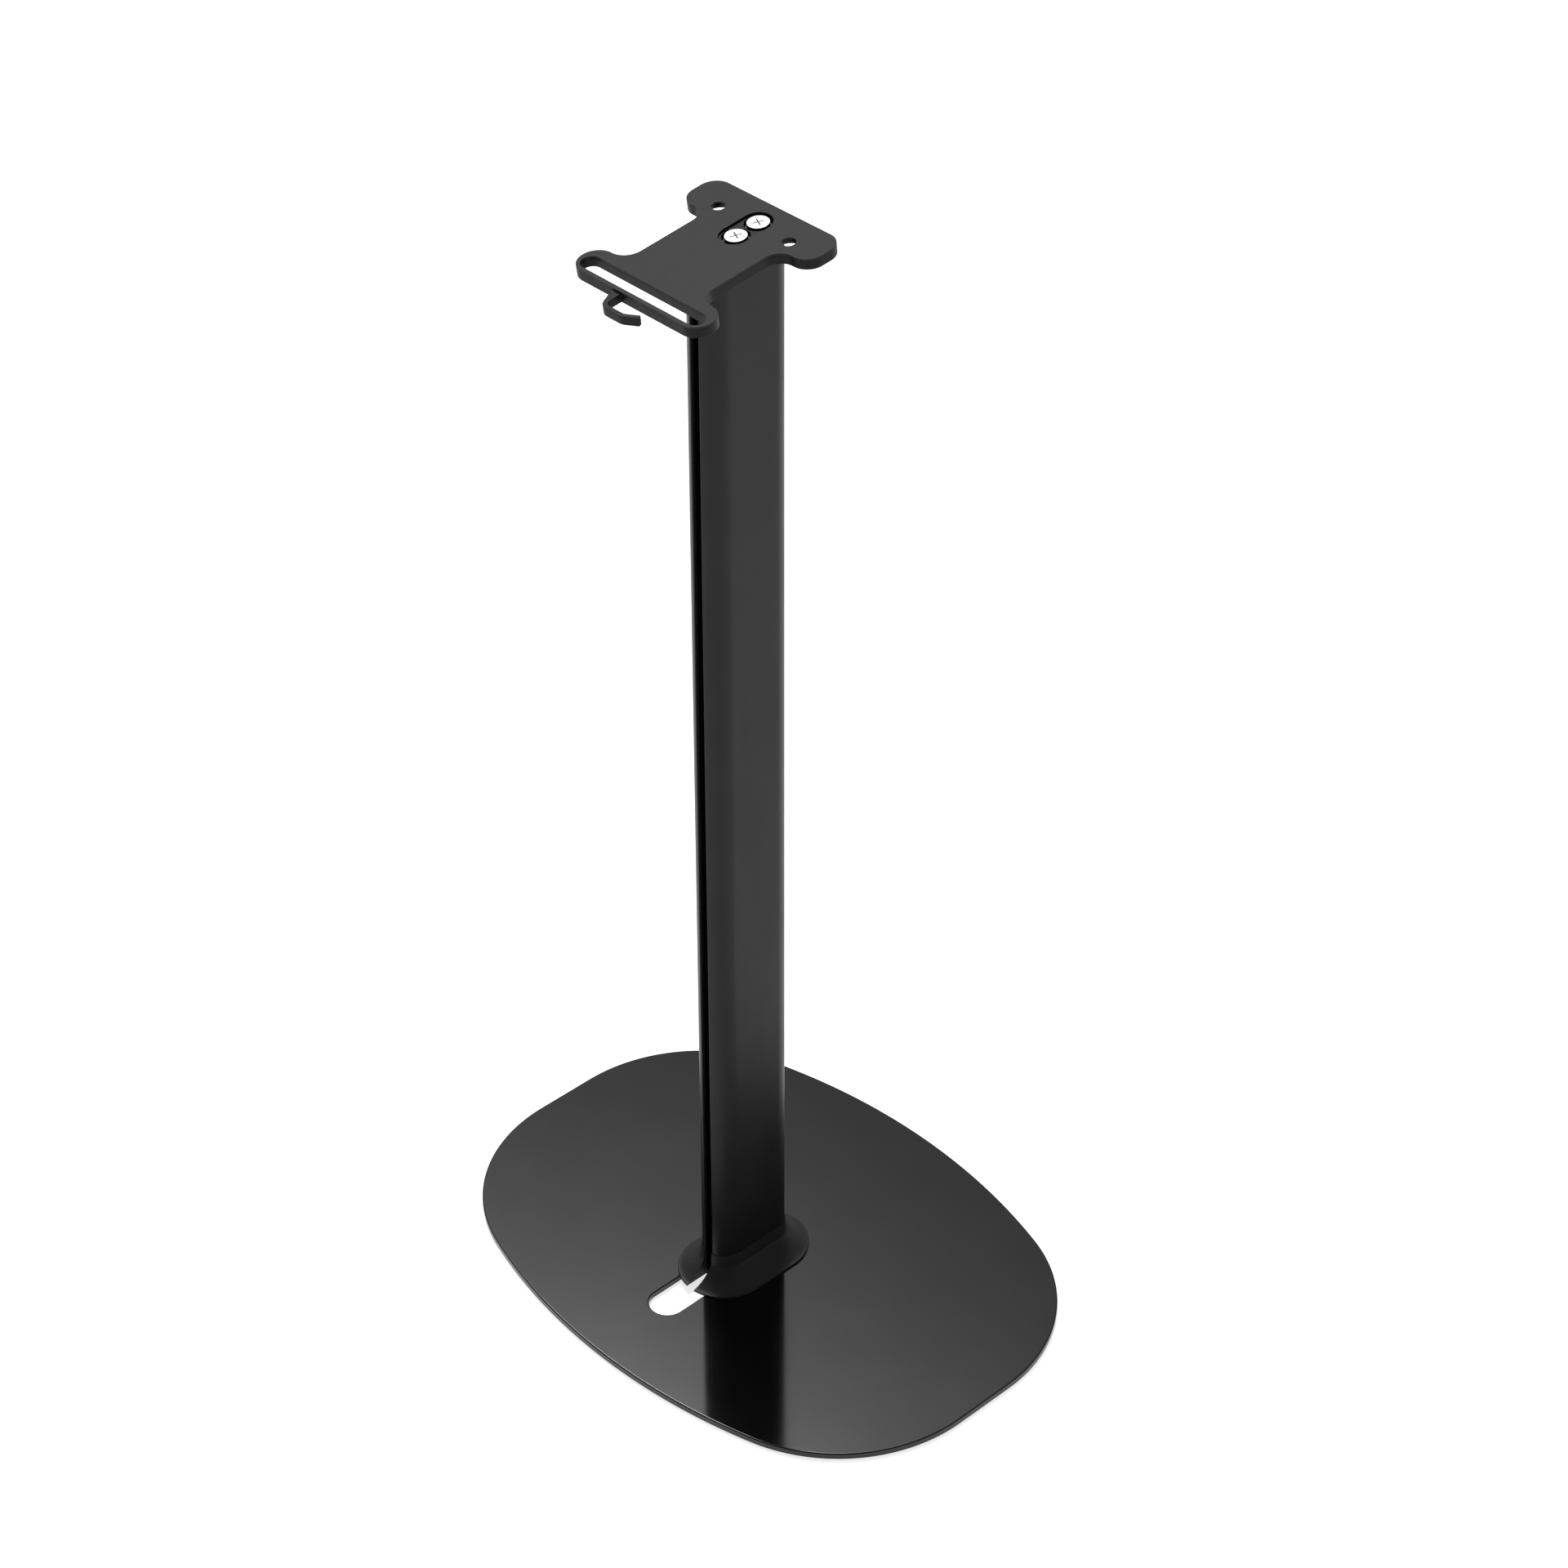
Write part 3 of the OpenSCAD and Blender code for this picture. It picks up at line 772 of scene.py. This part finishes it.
def build_bracket(settings):
    edge = settings.edge / MM
    shape = Shape()
    walls = [side_wall(shape, loop, METAL_LOW, METAL_TOP, edge, edge, steps=4)
             for loop in bracket_loops(hook=True)]
    walls += [stepped_hole(shape, x, SPEAKER_Y, SPEAKER_HOLE_D / 2, SPEAKER_RECESS_D / 2,
                           SPEAKER_FLOOR_Z, HOLE_EDGE_R) for x in SPEAKER_X]
    walls += [stepped_hole(shape, 0, y, COUNTERBORE_D / 2, SCREW_HOLE_R, WASHER_LOW,
                           HOLE_EDGE_R) for y in TOP_SCREW_Y]
    shape.cap([low for low, _ in walls], (0, 0, -1))
    shape.cap([high for _, high in walls], (0, 0, 1))
    obj = shape.build("metal_bracket", tilted())
    return dress(obj, powder_coat(settings.metal), "bracket_matte", "top_bracket")


def build_pad(settings):
    holes = [circle(x, SPEAKER_Y, SPEAKER_HOLE_D / 2, hole=True, step=6) for x in SPEAKER_X]
    half = WINDOW_LEN / 2
    window = long_slot(WINDOW_W, 0, WINDOW_Y - half, WINDOW_Y + half)
    loops = bracket_loops(hook=False) + holes + [spaced(window, step=1.5)]
    shape = plate(loops, -PAD_T, 0, PAD_UNDER_R, PAD_EDGE_R, steps=4)
    return dress(shape.build("grip_sheet", tilted()), grip_sheet(settings.pad), "grip_pad",
                 "top_pad")


def cross_loop(arm, half, r):
    """A cross with rounded inner and outer corners, as a hole."""
    points = []
    for c, d in ((1, 0), (0, 1), (-1, 0), (0, -1)):
        points += [(x * c - y * d, x * d + y * c)
                   for x, y in ((arm, -half), (arm, half), (half, half))]
    out = []
    for k, p in enumerate(points):
        out += corner(points[k - 1], p, points[(k + 1) % len(points)], r, steps=4)
    return out[::-1]


def head_shape(y):
    """A flat cross-head, its rim rounded, with a tapered cross in it, and the faces of its side
    and cross that get painted shade.
    """
    shape = Shape()
    top = -HEAD_SINK
    rim = circle(0, y, HEAD_D / 2)
    side = normals_of(rim)
    crown_z = top - HEAD_EASE
    low = side_wall(shape, rim, HEAD_LOW, crown_z, HEAD_UNDER_R, HEAD_EDGE_R, steps=5)[0]
    shape.cap([low], (0, 0, -1))
    painted_shade_faces = list(range(len(shape.faces)))
    rings = [shape.inset_ring(rim, side, HEAD_EDGE_R, crown_z, math.pi / 2)]
    rings += [shape.inset_ring(rim, side, inset, top - under, math.radians(slope))
              for inset, under, slope in CROWN]
    for a, b in zip(rings, rings[1:]):
        shape.join(a, b)
    c, d = math.cos(math.radians(CROSS_TURN)), math.sin(math.radians(CROSS_TURN))
    crosses = [[(u * c - v * d, u * d + v * c + y, top - depth)
                for u, v in cross_loop(arm, half, CROSS_CORNER_R)]
               for arm, half, depth, _ in CROSS]
    shape.cap([shape.points(rings[-1]), crosses[0]], (0, 0, 1))
    start = len(shape.faces)
    walls = normals_of([(x, v) for x, v, _ in crosses[0]])
    rows = [shape.ring([(co, (n.x, n.y, up)) for co, n in zip(cross, walls)])
            for cross, (_, _, _, up) in zip(crosses, CROSS)]
    for a, b in zip(rows, rows[1:]):
        shape.join(b, a)
    shape.cap([crosses[-1][::-1]], (0, 0, 1))
    return shape, painted_shade_faces + list(range(start, len(shape.faces)))


def repaint(node, material):
    """Gives a CAD node a better material."""
    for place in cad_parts[node].material_slots:
        place.material = material


def build_screws():
    bright = metal("bright_zinc", BRIGHT_ZINC, rough=0.19, grain=0.003)
    # Painted shade: this near-black material darkens the heads' sides, their cross and the washers
    dark = metal("painted_shade_zinc", PAINTED_SHADE_ZINC, rough=0.4, grain=0.2)
    for name, y in zip(("front", "rear"), TOP_SCREW_Y):
        shape, painted_shade_faces = head_shape(y)
        head = dress(shape.build("cross_head_" + name, tilted()), bright, "bright_zinc",
                     "top_screw_" + name)
        head.data.materials.append(dark)
        # Painted shade: the head's side and cross take the near-black second material
        for k in painted_shade_faces:
            head.data.polygons[k].material_index = 1
        loops = [circle(0, y, WASHER_D / 2), circle(0, y, SCREW_HOLE_R, hole=True, step=6)]
        ring = plate(loops, WASHER_LOW, HEAD_LOW, WASHER_UNDER_R, WASHER_EDGE_R, steps=3)
        dress(ring.build("washer_" + name, tilted()), dark, "dark_steel", "top_washer_" + name)
        repaint("base_screw_" + name, dark)


def build_feet():
    rubber = moulded("foot_rubber", RUBBER)
    for k in range(FOOT_PADS):
        repaint("foot_pad_%d" % (k + 1), rubber)


# Studio

# Directions of the middle of the bright patch and of the dark side
LAMP = Vector((0.4742, -0.2963, 0.8290))
DARK = Vector((-0.6900, 0.6520, 0.3140))
# Cosine of the angle from the lamp's middle, and brightness there
GLOW = [(0.90, 0.36), (0.94, 0.44), (0.9575, 0.62), (0.9649, 0.89), (0.9723, 1.42),
        (0.9773, 2.06), (0.9826, 4.10), (0.988, 8.00), (0.992, 22.0), (1.0, 32.0)]
# Cosine of the angle from the dark side's middle, and the share of light that is left
SHADE = [(0.2, 1.0), (0.6, 0.7), (0.92, 0.5), (1.0, 0.12)]
# Floor and camera, in metres and degrees; the lens and its sensor in millimetres
FLOOR_REACH = 200.0
FLOOR_GREY = 0.8
FLOOR_GLOW = 0.71
CAMERA_AT = (-1.251074, 1.167974, 1.619248)
CAMERA_DOWN = 36.586
CAMERA_TURN = 226.591
CAMERA_LENS = 88.456
CAMERA_SENSOR = 36.0
CAMERA_CLIP = (0.05, 500)


def build_surround(settings):
    """A soft bright patch high in front, an even grey round it, and a dark side opposite."""
    world = bpy.data.worlds.new("studio")
    bpy.context.scene.world = world
    world.use_nodes = True
    tree = world.node_tree
    tree.nodes.clear()
    add, link = tree.nodes.new, tree.links.new
    place = add("ShaderNodeTexCoord")

    def towards(direction, stops):
        """Brightness by the angle from a direction: stops of (cosine, value)."""
        low, high = stops[0][0], stops[-1][0]
        dot = add("ShaderNodeVectorMath")
        span = add("ShaderNodeMapRange")
        ramp = add("ShaderNodeValToRGB")
        dot.operation = "DOT_PRODUCT"
        dot.inputs[1].default_value = direction
        span.inputs["From Min"].default_value = low
        span.inputs["From Max"].default_value = high
        link(place.outputs["Generated"], dot.inputs[0])
        link(dot.outputs["Value"], span.inputs["Value"])
        link(span.outputs[0], ramp.inputs[0])
        elements = ramp.color_ramp.elements
        while len(elements) < len(stops):
            elements.new(0.5)
        for element, (at, value) in zip(elements, stops):
            element.position = (at - low) / (high - low)
            element.color = (value, value, value, 1)
        return ramp.outputs[0]

    out = add("ShaderNodeOutputWorld")
    back = add("ShaderNodeBackground")
    product = add("ShaderNodeVectorMath")
    peak = GLOW[-1][1]
    product.operation = "MULTIPLY"
    link(towards(LAMP, [(at, value / peak) for at, value in GLOW]), product.inputs[0])
    link(towards(DARK, SHADE), product.inputs[1])
    link(product.outputs[0], back.inputs["Color"])
    back.inputs["Strength"].default_value = peak * settings.sky
    link(back.outputs[0], out.inputs["Surface"])


def build_floor(settings):
    mesh = bpy.data.meshes.new("pale_floor")
    mesh.from_pydata([(x * FLOOR_REACH, y * FLOOR_REACH, 0)
                      for x, y in ((-1, -1), (1, -1), (1, 1), (-1, 1))], [], [(0, 1, 2, 3)])
    floor = bpy.data.objects.new("pale_floor", mesh)
    bpy.context.scene.collection.objects.link(floor)
    m = Nodes("pale_floor")
    m.set(Base_Color=(FLOOR_GREY, FLOOR_GREY, FLOOR_GREY, 1), Roughness=1.0,
          Emission_Color=(1, 1, 1, 1), Emission_Strength=FLOOR_GLOW * settings.floor)
    mesh.materials.append(m.material)


def build_camera():
    cam = bpy.data.cameras.new("camera")
    cam.sensor_width, cam.sensor_fit, cam.lens = CAMERA_SENSOR, "HORIZONTAL", CAMERA_LENS
    cam.clip_start, cam.clip_end = CAMERA_CLIP
    obj = bpy.data.objects.new("camera", cam)
    obj.location = CAMERA_AT
    obj.rotation_euler = (math.radians(90 - CAMERA_DOWN), 0, math.radians(CAMERA_TURN))
    bpy.context.scene.collection.objects.link(obj)
    bpy.context.scene.camera = obj
    bpy.context.scene.view_settings.view_transform = "Standard"


# Operators


class StandBaseBuild(bpy.types.Operator):
    """Builds the base plate and dresses the pads under it"""

    bl_idname = "stand.base"
    bl_label = "Base plate"

    def execute(self, context):
        build_base(context.scene.stand_base)
        build_feet()
        return {"FINISHED"}


class StandColumnBuild(bpy.types.Operator):
    """Builds the column with its rear cable slit"""

    bl_idname = "stand.column"
    bl_label = "Column"

    def execute(self, context):
        build_column(context.scene.stand_column)
        return {"FINISHED"}


class StandCollarBuild(bpy.types.Operator):
    """Builds the collar round the foot of the column"""

    bl_idname = "stand.collar"
    bl_label = "Foot collar"

    def execute(self, context):
        build_collar(context.scene.stand_column)
        return {"FINISHED"}


class StandBracketBuild(bpy.types.Operator):
    """Builds the metal top bracket and its grip sheet"""

    bl_idname = "stand.bracket"
    bl_label = "Top bracket"

    def execute(self, context):
        build_bracket(context.scene.stand_bracket)
        build_pad(context.scene.stand_bracket)
        return {"FINISHED"}


class StandScrewsBuild(bpy.types.Operator):
    """Builds the bracket's screws and washers and dresses the base screws"""

    bl_idname = "stand.screws"
    bl_label = "Screws"

    def execute(self, context):
        build_screws()
        return {"FINISHED"}


class StandStageBuild(bpy.types.Operator):
    """Builds the floor, the studio's surround and the camera"""

    bl_idname = "stand.stage"
    bl_label = "Studio"

    def execute(self, context):
        build_surround(context.scene.stand_studio)
        build_floor(context.scene.stand_studio)
        build_camera()
        return {"FINISHED"}


class StandPanel(bpy.types.Panel):
    """Sizes, colours and build steps of the stand"""

    bl_idname = "VIEW3D_PT_stand"
    bl_label = "Speaker stand"
    bl_space_type = "VIEW_3D"
    bl_region_type = "UI"
    bl_category = "Stand"

    def draw(self, context):
        for name, keys in PANEL_ROWS:
            group = getattr(context.scene, name)
            for key in keys:
                self.layout.prop(group, key)
        for step in STEPS:
            self.layout.operator(step.bl_idname)


GROUPS = {"stand_base": StandBase, "stand_column": StandColumn, "stand_bracket": StandBracket,
          "stand_studio": StandStudio}
PANEL_ROWS = [("stand_base", ("width", "depth", "colour")),
              ("stand_column", ("lip", "colour", "collar")),
              ("stand_bracket", ("edge", "metal", "pad")),
              ("stand_studio", ("floor", "sky"))]
STEPS = [StandBaseBuild, StandColumnBuild, StandCollarBuild, StandBracketBuild,
         StandScrewsBuild, StandStageBuild]


def register():
    for cls in (*GROUPS.values(), *STEPS, StandPanel):
        bpy.utils.register_class(cls)
    for name, cls in GROUPS.items():
        setattr(bpy.types.Scene, name, bpy.props.PointerProperty(type=cls))


def unregister():
    for name in GROUPS:
        delattr(bpy.types.Scene, name)
    for cls in reversed((*GROUPS.values(), *STEPS, StandPanel)):
        bpy.utils.unregister_class(cls)


def main():
    register()
    for step in STEPS:
        area, name = step.bl_idname.split(".")
        getattr(getattr(bpy.ops, area), name)()


if __name__ == "__main__":
    main()
